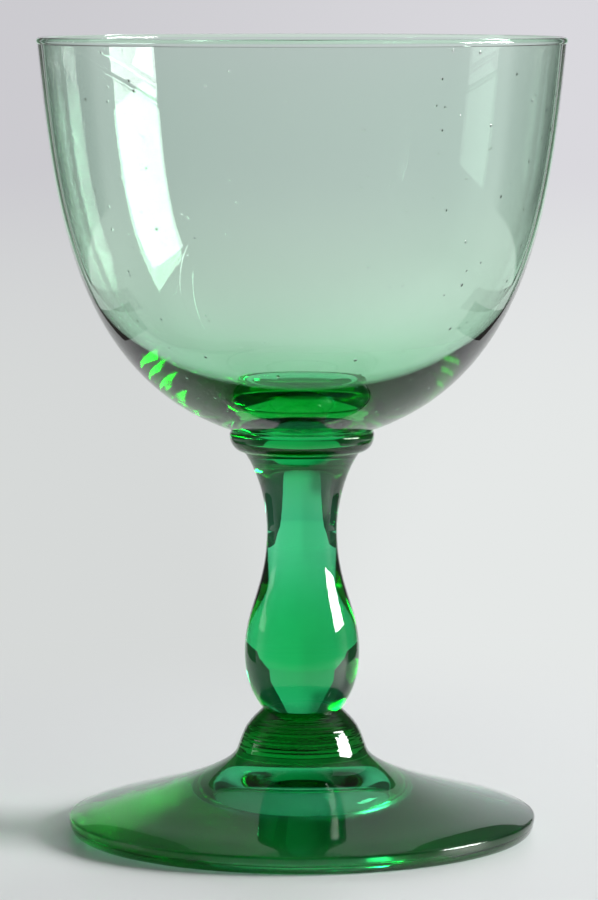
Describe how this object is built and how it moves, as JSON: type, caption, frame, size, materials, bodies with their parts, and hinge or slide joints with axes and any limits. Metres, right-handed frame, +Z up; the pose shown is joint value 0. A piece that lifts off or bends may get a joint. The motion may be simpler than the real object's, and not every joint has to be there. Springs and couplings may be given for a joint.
{
  "type": "cocktail glass",
  "caption": "Stemmed green glass goblet: a thin U-shaped bowl on a disc collar, a solid baluster stem, a domed knop and a spread conical foot, for cocktails or wine.",
  "frame": {"origin": "on the table under the middle of the foot, on the glass's axis", "axes": "+Z up along the glass's axis, from the foot to the rim; the glass is round, so +X and +Y are any two level directions"},
  "size_m": [0.08, 0.08, 0.121],
  "materials": {
    "bowl_glass": "fire-polished clear green, thin and pale",
    "stem_glass": "fire-polished clear green, solid and deep",
    "foot_glass": "fire-polished clear green, worn on the standing ring"
  },
  "bodies": {
    "root": {"bowl": "bowl_glass", "collar": "stem_glass", "stem": "stem_glass", "knop": "stem_glass", "foot": "foot_glass"}
  },
  "joints": []
}
